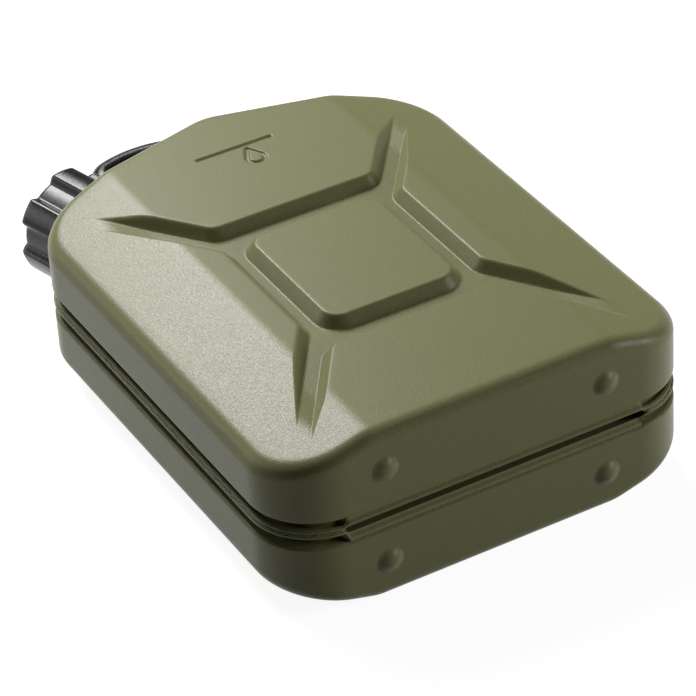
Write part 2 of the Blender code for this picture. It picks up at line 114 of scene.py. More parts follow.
# outlines: corners are (x, y, radius, spacing of the straight after it), anticlockwise
def roundedOutline(corners, arcSpacing=2.0):
    count = len(corners)
    spots = [Vector(corner[:2]) for corner in corners]
    ahead = [(spots[(i + 1) % count] - spots[i]).normalized() for i in range(count)]
    reach = [corners[i][2] * tan(ahead[i - 1].angle(ahead[i]) / 2) for i in range(count)]
    points, normals = [], []
    for i, (x, y, radius, spacing) in enumerate(corners):
        before = ahead[i - 1]
        turn = before.angle(ahead[i])
        side = 1 if before.cross(ahead[i]) > 0 else -1
        centre = spots[i] - before * reach[i] + Vector((-before.y, before.x)) * (radius * side)
        steps = max(2, ceil(radius * turn / arcSpacing))
        for step in range(steps + 1):
            heading = before.copy()
            heading.rotate(Matrix.Rotation(side * turn * step / steps, 2))
            normal = Vector((heading.y, -heading.x))
            points.append(centre + normal * (radius * side))
            normals.append(normal)
        start = spots[i] + ahead[i] * reach[i]
        end = spots[(i + 1) % count] - ahead[i] * reach[(i + 1) % count]
        parts = max(1, ceil((end - start).length / spacing))
        for part in range(1, parts):
            points.append(start.lerp(end, part / parts))
            normals.append(Vector((ahead[i].y, -ahead[i].x)))
    return np.array([tuple(p) for p in points]), np.array([tuple(n) for n in normals])


def signedDistance(queries, outline):
    # from points to a closed outline, negative inside it
    starts, ends = outline, np.roll(outline, -1, axis=0)
    along = ends - starts
    tiny, batch = 1e-12, 2000  # against division by zero, and for memory
    lengths = (along ** 2).sum(axis=1) + tiny
    result = np.empty(len(queries))
    for first in range(0, len(queries), batch):
        part = queries[first:first + batch, None, :]
        share = np.clip(((part - starts) * along).sum(axis=2) / lengths, 0, 1)
        gap = np.sqrt(((part - starts - share[..., None] * along) ** 2).sum(axis=2)).min(axis=1)
        x, y = part[..., 0], part[..., 1]
        crosses = (starts[:, 1] > y) != (ends[:, 1] > y)
        rise = np.where(along[:, 1] == 0, tiny, along[:, 1])
        beyond = x < starts[:, 0] + (y - starts[:, 1]) * along[:, 0] / rise
        inside = (crosses & beyond).sum(axis=1) % 2 == 1
        result[first:first + batch] = np.where(inside, -gap, gap)
    return result


def softMin(a, b, blend):
    share = np.clip(0.5 + 0.5 * (b - a) / blend, 0, 1)
    return b + (a - b) * share - blend * share * (1 - share)


def softMax(a, b, blend):
    return -softMin(-a, -b, blend)


def smoothStep(share):
    share = np.clip(share, 0, 1)
    return share * share * (3 - 2 * share)


# the pressed channel: a ring round a raised square, with four arms to the corners
channel = {
    "depth": 4.5,
    "wallRun": 3.5,
    "edge": 0.8,
    "squareHalfX": 26.3,
    "squareHalfY": 30.9,
    "squareCornerR": 7,
    "ringFloorX": 4.3,
    "ringFloorY": 6.0,
    "armFloor": 5.6,
    "armStep": 0.9,
    "armAngleTop": 53.5,
    "armAngleBase": 56,
    "armRiseFrom": 52,
    "armRise": 0.07,
    "panelCornerR": 5,
    "topBlend": 0.95,
    "floorBlend": 0.5,
    "spacing": 0.9,
}
wallSlope = channel["depth"] / channel["wallRun"]


def channelOutline(spacing):
    sideX = channel["squareHalfX"] + channel["wallRun"] + channel["ringFloorX"]
    endY = channel["squareHalfY"] + channel["wallRun"] + channel["ringFloorY"]
    reach = tank["halfWidth"] + tank["rimR"] - sideX
    panelR = channel["panelCornerR"] + channel["wallRun"] + channel["edge"]
    corners = []
    for side, end, angle in ((-1, -1, "Base"), (1, -1, "Base"), (1, 1, "Top"), (-1, 1, "Top")):
        lean = radians(channel["armAngle" + angle])
        rise = tan(lean)
        width = channel["armFloor"] / cos(lean)
        lowY = endY - channel["armStep"] * rise - width
        arm = [
            (side * sideX, end * lowY, panelR, spacing),
            (side * (sideX + reach), end * (lowY + reach * rise), channel["edge"], spacing),
            (side * (sideX + reach), end * (lowY + reach * rise + width), channel["edge"], spacing),
            (side * (sideX + channel["armStep"]), end * endY, panelR, spacing),
        ]
        corners += arm if side * end > 0 else reversed(arm)
    return roundedOutline(corners, spacing)


def squareOutline(spacing):
    x, y, radius = channel["squareHalfX"], channel["squareHalfY"], channel["squareCornerR"]
    ends = ((-x, -y), (x, -y), (x, y), (-x, y))
    return roundedOutline([(*end, radius, spacing) for end in ends], spacing)


# the level mark near the neck: a line, and a drop under it, pressed into the sheet
levelMark = {
    "lineFrom": (-16.4, 88.5),
    "lineTo": (14.4, 88.5),
    "dropX": 3.0,
    "dropY": 78.2,
    "dropR": 3.4,
    "dropTip": 7.4,
    "halfWidth": 0.85,
    "wall": 0.45,
    "depth": 0.75,
    "dropTouch": 28,  # degrees, where the drop's tip leaves its round end
    "dropSteps": 24,
    "netSpacing": 0.42,
    "netMargin": 3,
    "netGap": 0.5,
}


def markStrokes():
    # each stroke is a run of points
    strokes = [[levelMark["lineFrom"], levelMark["lineTo"]]]
    x, y, radius, tip = (levelMark[key] for key in ("dropX", "dropY", "dropR", "dropTip"))
    touch, steps = radians(levelMark["dropTouch"]), levelMark["dropSteps"]
    arc = [touch + (pi - 2 * touch - 2 * pi) * step / steps for step in range(steps + 1)]
    drop = [(x + radius * cos(angle), y + radius * sin(angle)) for angle in arc]
    strokes.append([(x, y + tip)] + drop + [(x, y + tip)])
    return strokes


def markDepth(points):
    gap = np.full(len(points), np.inf)
    for stroke in markStrokes():
        for start, end in zip(stroke, stroke[1:]):
            start, along = np.array(start), np.array(end) - np.array(start)
            share = np.clip(((points - start) @ along) / (along @ along), 0, 1)
            nearest = start + share[:, None] * along
            gap = np.minimum(gap, np.hypot(*(points - nearest).T))
    wall = levelMark["wall"]
    return levelMark["depth"] * (1 - smoothStep((gap - levelMark["halfWidth"] + wall / 2) / wall))


def sideDrop(x):
    past = np.abs(x) - (tank["halfWidth"] - tank["slopeWidth"])
    blend, slope = tank["creaseBlend"], tan(radians(tank["sideAngle"]))
    curved = slope * (np.clip(past, -blend, blend) + blend) ** 2 / (4 * blend)
    return curved + slope * np.maximum(past - blend, 0)


def stampedBowl(points):
    # height of the channel's floor and walls
    away = signedDistance(points, channelLine[0])
    awayFromSquare = signedDistance(points, squareLine[0])
    rise = softMax(wallSlope * away, 0, channel["floorBlend"])
    rise = softMax(rise, wallSlope * (channel["wallRun"] - awayFromSquare), channel["floorBlend"])
    armRise = channel["armRise"] * np.maximum(np.abs(points[:, 0]) - channel["armRiseFrom"], 0)
    return midZ - channel["depth"] + rise + armRise


channelLine = channelOutline(channel["spacing"])
squareLine = squareOutline(channel["spacing"])


# the seam: round the sides two flanges meet in a recess, and along the base
# both shells' lips overhang a groove; insets and heights are named once for all four
seam = {
    "stepFrom": 61.4,
    "stepTo": 59.6,
    "baseFacing": -0.99,
    "wallFrom": 8.2,
    "rimPart": 0.6,
    "filletSteps": 4,
    "filletLimit": 0.45,
    "sheetRound": 0.4,
    "rootRound": 0.2,
    "crispRound": 0.02,
    "edgeRound": 0.3,
    "slotRound": 0.15,
    "ceilingRound": 0.25,
    "names": (
        "halfGap", "depth", "grooveDepth", "grooveHalf", "edgeInset", "edgeRise",
        "slopeInset", "slopeRise", "slotInset", "slotRise", "lip", "lipRise", "grooveInner",
    ),
    "sideFront": (5.4, 4.2, 3.6, 0.2, 0.7, 1.35, 1.9, 1.75, 2.2, 0.7, 0.8, 0.5, 0.2),
    "sideBack": (5.4, 4.2, 3.6, 0.2, 0.0, 1.1, 1.2, 1.3, 1.8, 0.9, 0.9, 0.7, 0.2),
    "baseFront": (4.9, 1.9, 7.0, 1.35, 0.4, 2.3, 1.6, 3.1, 1.9, 4.6, 1.3, 1.1, 1.35),
    "baseBack": (5.9, 1.0, 7.0, 2.1, 1.5, 3.0, 0.3, 3.9, 0.6, 5.5, 0.9, 0.6, 4.6),
}


def filletProfile(points):
    # points are (inset, height, cut): a cut corner becomes a small curve
    result = [points[0][:2]]
    steps = seam["filletSteps"]
    for before, here, after in zip(points, points[1:], points[2:]):
        if not here[2]:
            result.append(here[:2])
            continue
        corner = Vector(here[:2])
        back, ahead = Vector(before[:2]) - corner, Vector(after[:2]) - corner
        cut = min(here[2], *(seam["filletLimit"] * leg.length for leg in (back, ahead)))
        start, end = corner + back.normalized() * cut, corner + ahead.normalized() * cut
        for step in range(steps + 1):
            share = step / steps
            result.append(tuple(start.lerp(corner, share).lerp(corner.lerp(end, share), share)))
    return result + [points[-1][:2]]


def seamProfile(name, rimFoot):
    # from the inside of the rim, round the flange, to the outside of the rim
    shape = dict(zip(seam["names"], seam[name]))
    sheet, low, halfGap = tank["sheet"], tank["shellGap"] / 2, shape["halfGap"]
    inside = max(shape["grooveDepth"], shape["depth"]) + sheet
    return np.array(filletProfile([
        (sheet, rimFoot, 0),
        (sheet, halfGap + shape["lipRise"] + sheet, seam["sheetRound"]),
        (inside, halfGap + sheet, seam["sheetRound"]),
        (inside, low, seam["rootRound"]),
        (shape["grooveDepth"], low, seam["crispRound"]),
        (shape["grooveDepth"], shape["grooveInner"], seam["crispRound"]),
        (shape["edgeInset"], shape["grooveHalf"], seam["edgeRound"]),
        (shape["edgeInset"], shape["edgeRise"], seam["edgeRound"]),
        (shape["slopeInset"], shape["slopeRise"], seam["rootRound"]),
        (shape["slotInset"], shape["slotRise"], seam["slotRound"]),
        (shape["depth"], shape["slotRise"], seam["slotRound"]),
        (shape["depth"], halfGap, seam["ceilingRound"]),
        (shape["lip"], halfGap, seam["edgeRound"]),
        (0, halfGap + shape["lipRise"], seam["sheetRound"]),
        (0, seam["wallFrom"], 0),
        (0, rimFoot - seam["rimPart"], 0),
        (0, rimFoot, 0),
    ]))


def tankOutline():
    width, drop, spacing = tank["halfWidth"], tank["baseDrop"], tank["outlineSpacing"]
    return roundedOutline([
        (-width, -drop, tank["baseCornerR"], tank["baseSpacing"]),
        (width, -drop, tank["baseCornerR"], spacing),
        (width, shoulderY, tank["shoulderR"], spacing),
        (0, tank["peakRise"], tank["peakR"], spacing),
        (-width, shoulderY, tank["shoulderR"], spacing),
    ])


def baseShare(points, normals):
    # 1 where the base's own seam shape runs, 0 round the rest
    run = (seam["stepFrom"] - np.abs(points[:, 0])) / (seam["stepFrom"] - seam["stepTo"])
    return np.where(normals[:, 1] < seam["baseFacing"], smoothStep(run), 0)


def shellRings(half):
    points, normals = tankOutline()
    rimFoot = midZ - tank["rimR"]
    sideShape, baseShape = seamProfile("side" + half, rimFoot), seamProfile("base" + half, rimFoot)
    share = baseShare(points, normals)[:, None]
    steps = tank["rimSteps"]
    rings = []

    def rimRing(step, sheet):
        angle = pi / 2 * step / steps
        radius = tank["rimR"] - sheet
        place = points - normals * (tank["rimR"] - radius * cos(angle))
        height = rimFoot + radius * sin(angle) - sideDrop(place[:, 0])
        height = softMin(height, stampedBowl(place) - sheet, channel["topBlend"])
        return np.column_stack((place, height))

    for step in range(steps, 0, -1):
        rings.append(rimRing(step, tank["sheet"]))
    for side, base in zip(sideShape, baseShape):
        inset, height = np.split(side * (1 - share) + base * share, 2, axis=1)
        place = points - normals * inset
        if side[1] >= rimFoot - seam["rimPart"]:
            height = height - sideDrop(place[:, 0])[:, None]
        rings.append(np.column_stack((place, height)))
    for step in range(1, steps + 1):
        rings.append(rimRing(step, 0))
    return rings


# how far from each pressed edge the face's net has lines, and how finely it is cut
net = {
    "fineSpacing": 0.9,
    "foldLines": (
        -1.3, -0.8, -0.45, -0.2, 0, 0.2, 0.45, 1.2, 2.0, 2.7, 3.0, 3.25, 3.5, 3.75, 4.0, 4.3, 5.2, 6.3,
    ),
    "slopeLines": (0.7, 0.95, 1.45, 1.7, 2.3),
    "squareLines": (
        -2.6, -1.6, -0.8, -0.5, -0.25, 0, 0.25, 0.5, 0.8, 1.6, 2.4, 3.05, 3.3, 3.5, 3.7, 3.95, 4.5, 5.2,
    ),
    "coarseSpacing": 3.0,
    "coarseLines": (0, 3.5),
    "lineToRim": 1.0,
    "slopeLinesInside": 3,
    "grid": 4.0,
    "gridX": (-80, 80.1),
    "gridY": (-92, 116),
    "gridToRim": 1.5,
    "bareChannel": (-2.2, 7.2),
    "bareSquare": (-3.6, 6.0),
    "creaseStep": 0.7,
    "creaseSteps": 5,
    "mergeBelow": 1e-5,
}


def faceNet(rim, fine):
    # triangles of the face inside its rim, with lines along every pressed edge
    spots = [tuple(spot) for spot in rim]
    edges = [(i, (i + 1) % len(rim)) for i in range(len(rim))]
    spacing = net["fineSpacing" if fine else "coarseSpacing"]

    def addLine(line, keep):
        # only the runs of kept neighbours are joined
        picked = [i for i in range(len(line)) if keep[i]]
        place = {i: len(spots) + n for n, i in enumerate(picked)}
        spots.extend(tuple(line[i]) for i in picked)
        for i in picked:
            after = (i + 1) % len(line)
            if after in place:
                edges.append((place[i], place[after]))

    points, normals = channelOutline(spacing)
    for offset in net["foldLines"] if fine else net["coarseLines"]:
        line = points + normals * offset
        addLine(line, signedDistance(line, rim) < -net["lineToRim"])
    crease = tank["halfWidth"] - tank["slopeWidth"]
    for offset in net["slopeLines"] if fine else ():
        line = points + normals * offset
        onSlope = np.abs(line[:, 0]) > crease - net["slopeLinesInside"]
        addLine(line, (signedDistance(line, rim) < -net["lineToRim"]) & onSlope)
    points, normals = squareOutline(spacing)
    for offset in net["squareLines"] if fine else net["coarseLines"]:
        addLine(points + normals * offset, np.ones(len(points), bool))

    # a plain grid fills what lies between the lines
    reach = net["creaseSteps"]
    xs = list(np.arange(*net["gridX"], net["grid"]))
    for side in (-1, 1):
        xs += [side * (crease + step * net["creaseStep"]) for step in range(-reach, reach + 1)]
    grid = np.array([(x, y) for x in xs for y in np.arange(*net["gridY"], net["grid"])])
    grid = grid[signedDistance(grid, rim) < -net["gridToRim"]]
    for (outline, _), bare in ((channelLine, net["bareChannel"]), (squareLine, net["bareSquare"])):
        away = signedDistance(grid, outline)
        grid = grid[(away < bare[0]) | (away > bare[1])]
    if fine:
        margin, gap, step = (levelMark[key] for key in ("netMargin", "netGap", "netSpacing"))
        bottom = levelMark["dropY"] - levelMark["dropR"]
        low = np.array((levelMark["lineFrom"][0] - margin, bottom - margin))
        high = np.array(levelMark["lineTo"]) + margin
        grid = grid[~((grid > low - gap) & (grid < high + gap)).all(axis=1)]
        across, along = (np.arange(low[axis], high[axis], step) for axis in (0, 1))
        spots.extend((x, y) for x in across for y in along)
    spots.extend(tuple(spot) for spot in grid)
    made = delaunay_2d_cdt([Vector(spot) for spot in spots], edges, [], 1, net["mergeBelow"])
    return np.array([tuple(vert) for vert in made[0]]), [tuple(face) for face in made[2]]


def shellMesh(name, side):
    rings = shellRings("Front" if side > 0 else "Back")
    points = [tuple(point) for ring in rings for point in ring]
    faces = ringFaces(0, len(rings), len(rings[0]))
    for ring, fine in ((rings[-1], True), (rings[0], False)):
        spots, triangles = faceNet(ring[:, :2], fine)
        height = softMin(midZ - sideDrop(spots[:, 0]), stampedBowl(spots), channel["topBlend"])
        if not fine:
            height = height - tank["sheet"]
        elif side > 0:
            height = height - markDepth(spots)
        first = len(points)
        points += [(x, y, z) for (x, y), z in zip(spots, height)]
        for triangle in triangles:
            faces.append(tuple(first + corner for corner in triangle))
    points = [(x, y, side * z) for x, y, z in points]
    return plainMesh(name, points, faces, weld=0.002)


# domed feet pressed into the base wall, each a low button that flares into the wall
foot = {
    "fromSide": 40.2,
    "fromFace": 16,
    "radius": 4.75,
    "rise": 2.2,
    "flare": 0.9,
    "sunk": 0.12,
    "rings": 16,
    "spokes": 48,
}


def footButtons(side):
    points, faces = [], []
    rings, spokes = foot["rings"], foot["spokes"]
    outerR = foot["radius"] + foot["flare"]
    blend = 2 * foot["flare"] / foot["radius"]
    for x in (-1, 1):
        centreX = x * (tank["halfWidth"] - foot["fromSide"])
        centreZ = side * (midZ - foot["fromFace"])
        first = len(points)
        for ring in range(rings + 1):
            radius = outerR * (1 - ring / rings) if ring < rings else 0
            dome = 1 - (radius / foot["radius"]) ** 2
            rise = foot["rise"] * float(softMax(dome, 0, blend)) - foot["sunk"] * (ring == 0)
            y = -tank["baseDrop"] - rise
            for spoke in range(spokes if ring < rings else 1):
                angle = 2 * pi * spoke / spokes
                points.append((centreX + radius * cos(angle), y, centreZ + radius * sin(angle)))
        faces += ringFaces(first, rings, spokes)
        pole, back = len(points) - 1, len(points)
        points.append((centreX, -tank["baseDrop"] + tank["sheet"] / 2, centreZ))
        for i in range(spokes):
            j = (i + 1) % spokes
            faces.append((pole - spokes + i, pole - spokes + j, pole))
            faces.append((first + j, first + i, back))
    return points, faces


# the neck's own frame: z along the neck, x up the left slope
neck = {
    "fromShoulder": 37.6,
    "boreR": 11.0,
    "wall": 2.2,
    "reach": 12,
    "rise": 23.2,
    "mouthRound": 0.7,
    "spokes": 96,
    "holeSpokes": 64,
    "threadStart": 12.4,
    "threadTurns": 2.1,
    "threadPitch": 4.0,
    "threadR": 0.95,
    "threadSteps": 64,
    "threadSpokes": 12,
}
neckR = neck["boreR"] + neck["wall"]
roof = radians(tank["roofAngle"])
alongLeft, upLeft = Vector((cos(roof), sin(roof))), Vector((-sin(roof), cos(roof)))
alongRight, upRight = Vector((cos(roof), -sin(roof))), Vector((sin(roof), cos(roof)))
peak = Vector((0, tank["peakRise"]))
neckAlong = tank["halfWidth"] / cos(roof) - neck["fromShoulder"]
neckFoot = peak - alongLeft * neckAlong


def placeMatrix(foot2d, up2d):
    # millimetres in a foot's own frame, to metres in the model's frame
    across = Vector((up2d.y, -up2d.x, 0))
    away = Vector((0, 0, -1))
    up = Vector((up2d.x, up2d.y, 0))
    turned = Matrix((across, away, up)).transposed().to_4x4()
    place = Vector((foot2d.x, foot2d.y - tank["middleY"], midZ)) * mm
    return Matrix.Translation(place) @ turned @ Matrix.Scale(mm, 4)


neckPlace = placeMatrix(neckFoot, upLeft)


def loopsMesh(name, loops, closed):
    # each loop of points joins the next, and then the last joins the first or both ends get a face
    bm = bmesh.new()
    rows = [[bm.verts.new(spot) for spot in loop] for loop in loops]
    for low, high in zip(rows, rows[1:] + rows[:1] if closed else rows[1:]):
        for i in range(len(low)):
            j = (i + 1) % len(low)
            bm.faces.new((low[i], low[j], high[j], high[i]))
    if not closed:
        bm.faces.new(rows[0])
        bm.faces.new(rows[-1])
    bmesh.ops.transform(bm, matrix=neckPlace, verts=bm.verts)
    bmesh.ops.recalc_face_normals(bm, faces=bm.faces)
    mesh = bpy.data.meshes.new(name)
    bm.to_mesh(mesh)
    bm.free()
    mesh.shade_smooth()
    return mesh


def latheMesh(name, profile, spokes):
    # profile is a closed run of (radius, height) round the neck's axis
    angles = [2 * pi * spoke / spokes for spoke in range(spokes)]
    loops = [[(radius * cos(a), radius * sin(a), height) for a in angles] for radius, height in profile]
    return loopsMesh(name, loops, closed=True)


cornerSteps = 5
flatBeside = 1.5  # a point on the flat this many cuts from the corner keeps its shading


def roundedProfile(points):
    # (radius, height, cut) closed profile with its corners rounded
    result = []
    count = len(points)
    for i, (radius, height, cut) in enumerate(points):
        corner = Vector((radius, height))
        if not cut:
            result.append((radius, height))
            continue
        before = (Vector(points[i - 1][:2]) - corner).normalized()
        after = (Vector(points[(i + 1) % count][:2]) - corner).normalized()
        start, end = corner + before * cut, corner + after * cut
        result.append(tuple(corner + before * cut * flatBeside))
        for step in range(cornerSteps + 1):
            share = step / cornerSteps
            result.append(tuple(start.lerp(corner, share).lerp(corner.lerp(end, share), share)))
        result.append(tuple(corner + after * cut * flatBeside))
    return result


# node materials: every pattern reads Object coordinates, and bump depths are metres
def newMaterial(name, colour, roughness, metallic=0.0, specular=0.5):
    material = bpy.data.materials.new(name)
    material.use_nodes = True
    shader = material.node_tree.nodes["Principled BSDF"]
    shader.inputs["Base Color"].default_value = (*colour, 1)
    shader.inputs["Roughness"].default_value = roughness
    shader.inputs["Metallic"].default_value = metallic
    shader.inputs["Specular IOR Level"].default_value = specular
    return material


def mathNode(tree, operation):
    node = tree.nodes.new("ShaderNodeMath")
    node.operation = operation
    return node


def addNode(material, kind, **inputs):
    node = material.node_tree.nodes.new(kind)
    for name, value in inputs.items():
        node.inputs[name].default_value = value
    return node


def wire(material, source, output, target, socket):
    material.node_tree.links.new(source.outputs[output], target.inputs[socket])


def objectPattern(material, kind, scale, **inputs):
    # a pattern centred on the piece, its scale in features per metre
    coords = addNode(material, "ShaderNodeTexCoord")
    mapping = addNode(material, "ShaderNodeMapping")
    pattern = addNode(material, kind, Scale=scale, **inputs)
    wire(material, coords, "Object", mapping, "Vector")
    wire(material, mapping, "Vector", pattern, "Vector")
    return pattern


def rampNode(material, stops):
    ramp = addNode(material, "ShaderNodeValToRGB")
    ramp.color_ramp.elements[0].position = stops[0][0]
    ramp.color_ramp.elements[0].color = (*stops[0][1], 1)
    ramp.color_ramp.elements[1].position = stops[-1][0]
    ramp.color_ramp.elements[1].color = (*stops[-1][1], 1)
    for position, colour in stops[1:-1]:
        ramp.color_ramp.elements.new(position).color = (*colour, 1)
    return ramp


def addTint(material, pattern, look):
    # the pattern runs through the look's colours
    tint = rampNode(material, look["tints"])
    wire(material, pattern, "Fac", tint, "Fac")
    wire(material, tint, "Color", material.node_tree.nodes["Principled BSDF"], "Base Color")


def addPolish(material, pattern, look):
    # the pattern moves the roughness between two values
    polish = addNode(material, "ShaderNodeMapRange", **{
        "From Min": look.get("polishFrom", 0.0),
        "From Max": look.get("polishTo", 1.0),
        "To Min": look["roughLow"],
        "To Max": look["roughHigh"],
    })
    wire(material, pattern, "Fac", polish, "Value")
    wire(material, polish, "Result", material.node_tree.nodes["Principled BSDF"], "Roughness")


def addBump(material, pattern, look):
    bump = addNode(material, "ShaderNodeBump", Strength=look["bumpStrength"], Distance=look["bumpDepth"])
    wire(material, pattern, "Fac", bump, "Height")
    wire(material, bump, "Normal", material.node_tree.nodes["Principled BSDF"], "Normal")


paint = {
    "colour": (0.143, 0.146, 0.066),
    "tints": [(0.3, (0.128, 0.131, 0.058)), (0.5, (0.143, 0.146, 0.066)), (0.72, (0.160, 0.163, 0.076))],
    "grainScale": 1500,
    "bumpDepth": 0.00008,
    "bumpStrength": 0.7,
    "glintScale": 1300,
    "polishFrom": 0.36,
    "polishTo": 0.64,
    "roughness": 0.5,
    "roughLow": 0.275,
    "roughHigh": 0.385,
    "specular": 0.14,
}


def olivePaint():
    material = newMaterial("olivePaint", paint["colour"], paint["roughness"], 0.0, paint["specular"])
    grain = objectPattern(material, "ShaderNodeTexNoise", paint["grainScale"], Detail=2.0, Roughness=0.6)
    addTint(material, grain, paint)
    glint = objectPattern(material, "ShaderNodeTexNoise", paint["glintScale"], Detail=1.0)
    addPolish(material, glint, paint)
    addBump(material, grain, paint)
    return material


gloss = {
    "colour": (0.005, 0.005, 0.0055),
    "tints": [(0.35, (0.005, 0.005, 0.0055)), (0.7, (0.014, 0.014, 0.015))],
    "roughLow": 0.16,
    "roughHigh": 0.30,
    "grainScale": 1600,
    "hazeScale": 400,
    "bumpDepth": 0.00008,
    "bumpStrength": 0.7,
    "specular": 0.38,
}


def blackPlastic():
    material = newMaterial("blackPlastic", gloss["colour"], gloss["roughLow"], 0.0, gloss["specular"])
    grain = objectPattern(material, "ShaderNodeTexNoise", gloss["grainScale"], Detail=2.0)
    addTint(material, grain, gloss)
    haze = objectPattern(material, "ShaderNodeTexNoise", gloss["hazeScale"], Detail=3.0)
    addPolish(material, haze, gloss)
    addBump(material, grain, gloss)
    return material


steel = {
    "colour": (0.55, 0.55, 0.56),
    "roughness": 0.32,
    "roughLow": 0.22,
    "roughHigh": 0.45,
    "grainScale": 900,
}


def pinSteel():
    material = newMaterial("pinSteel", steel["colour"], steel["roughness"], metallic=1.0)
    grain = objectPattern(material, "ShaderNodeTexNoise", steel["grainScale"], Detail=3.0)
    addPolish(material, grain, steel)
    return material


rubber = {
    "colour": (0.02, 0.02, 0.02),
    "tints": [(0.3, (0.015, 0.015, 0.015)), (0.7, (0.035, 0.035, 0.034))],
    "roughness": 0.75,
    "grainScale": 1200,
}


def sealRubber():
    material = newMaterial("sealRubber", rubber["colour"], rubber["roughness"])
    grain = objectPattern(material, "ShaderNodeTexNoise", rubber["grainScale"], Detail=3.0)
    addTint(material, grain, rubber)
    return material


looks = {"paint": olivePaint(), "plastic": blackPlastic(), "steel": pinSteel(), "rubber": sealRubber()}
print("canister: materials made")


# shells
def neckHole():
    bm = bmesh.new()
    radius, depth = neckR + tank["shellGap"], 2 * (neck["reach"] + tank["sheet"])
    bmesh.ops.create_cone(
        bm, cap_ends=True, segments=neck["holeSpokes"], radius1=radius, radius2=radius, depth=depth)
    bmesh.ops.transform(bm, matrix=neckPlace, verts=bm.verts)
    mesh = bpy.data.meshes.new("neckHole")
    bm.to_mesh(mesh)
    bm.free()
    hole = bpy.data.objects.new("neckHole", mesh)
    bpy.context.scene.collection.objects.link(hole)
    return hole


def joinFeet(mesh, buttons):
    feet = bmesh.new()
    feet.from_mesh(buttons)
    bmesh.ops.recalc_face_normals(feet, faces=feet.faces)
    feet.to_mesh(buttons)
    feet.free()
    whole = bmesh.new()
    whole.from_mesh(mesh)
    whole.from_mesh(buttons)
    whole.to_mesh(mesh)
    whole.free()
    mesh.shade_smooth()


def makeShell(name, node, side, hole):
    rough = linkPiece(name + "Rough", shellMesh(name, side), looks["paint"], body=None)
    cut = rough.modifiers.new("hole", "BOOLEAN")
    cut.object = hole
    cut.solver = "EXACT"
    mesh = evaluatedMesh(rough)
    bpy.data.objects.remove(rough)
    joinFeet(mesh, plainMesh(name + "Feet", *footButtons(side)))
    piece = linkPiece(name, mesh, looks["paint"])
    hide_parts(node)
    print("canister:", name, len(mesh.polygons), "faces")


hole = neckHole()
makeShell("shellFront", "front_shell", 1, hole)
makeShell("shellBack", "back_shell", -1, hole)
bpy.data.objects.remove(hole)


# geometry nodes: a tree with named inputs, and its result as a plain mesh
def nodeTree(name, inputs):
    tree = bpy.data.node_groups.new(name, "GeometryNodeTree")
    tree.interface.new_socket("Geometry", in_out="INPUT", socket_type="NodeSocketGeometry")
    tree.interface.new_socket("Geometry", in_out="OUTPUT", socket_type="NodeSocketGeometry")
    for label, kind in inputs:
        tree.interface.new_socket(label, in_out="INPUT", socket_type="NodeSocket" + kind)
    return tree, tree.nodes.new("NodeGroupInput")


def chain(tree, *steps):
    # each step is (node, input socket, output socket), wired one after the other
    for (source, _, output), (target, socket, _) in zip(steps, steps[1:]):
        tree.links.new(source.outputs[output], target.inputs[socket])


def finishTree(tree, source, output, material):
    smooth = tree.nodes.new("GeometryNodeSetShadeSmooth")
    realize = tree.nodes.new("GeometryNodeRealizeInstances")
    coat = tree.nodes.new("GeometryNodeSetMaterial")
    coat.inputs["Material"].default_value = material
    end = tree.nodes.new("NodeGroupOutput")
    chain(
        tree, (source, None, output), (smooth, "Geometry", "Geometry"),
        (realize, "Geometry", "Geometry"), (coat, "Geometry", "Geometry"), (end, "Geometry", None))


def grownMesh(name, tree, mesh, values):
    carrier = bpy.data.objects.new(name, mesh)
    bpy.context.scene.collection.objects.link(carrier)
    modifier = carrier.modifiers.new(name, "NODES")
    modifier.node_group = tree
    for item in tree.interface.items_tree:
        if item.in_out == "INPUT" and item.name in values:
            modifier[item.identifier] = values[item.name]
    grown = evaluatedMesh(carrier)
    bpy.data.objects.remove(carrier)
    return grown


# weld bead between the flanges, all round the tank
bead = {
    "inset": 0.6,
    "baseInset": 6.6,
    "height": 0.1,
    "radius": 0.36,
    "spacing": 0.9,
    "wander": 0.2,
    "swell": 0.3,
    "seed": 7,
    "spokes": 10,
}


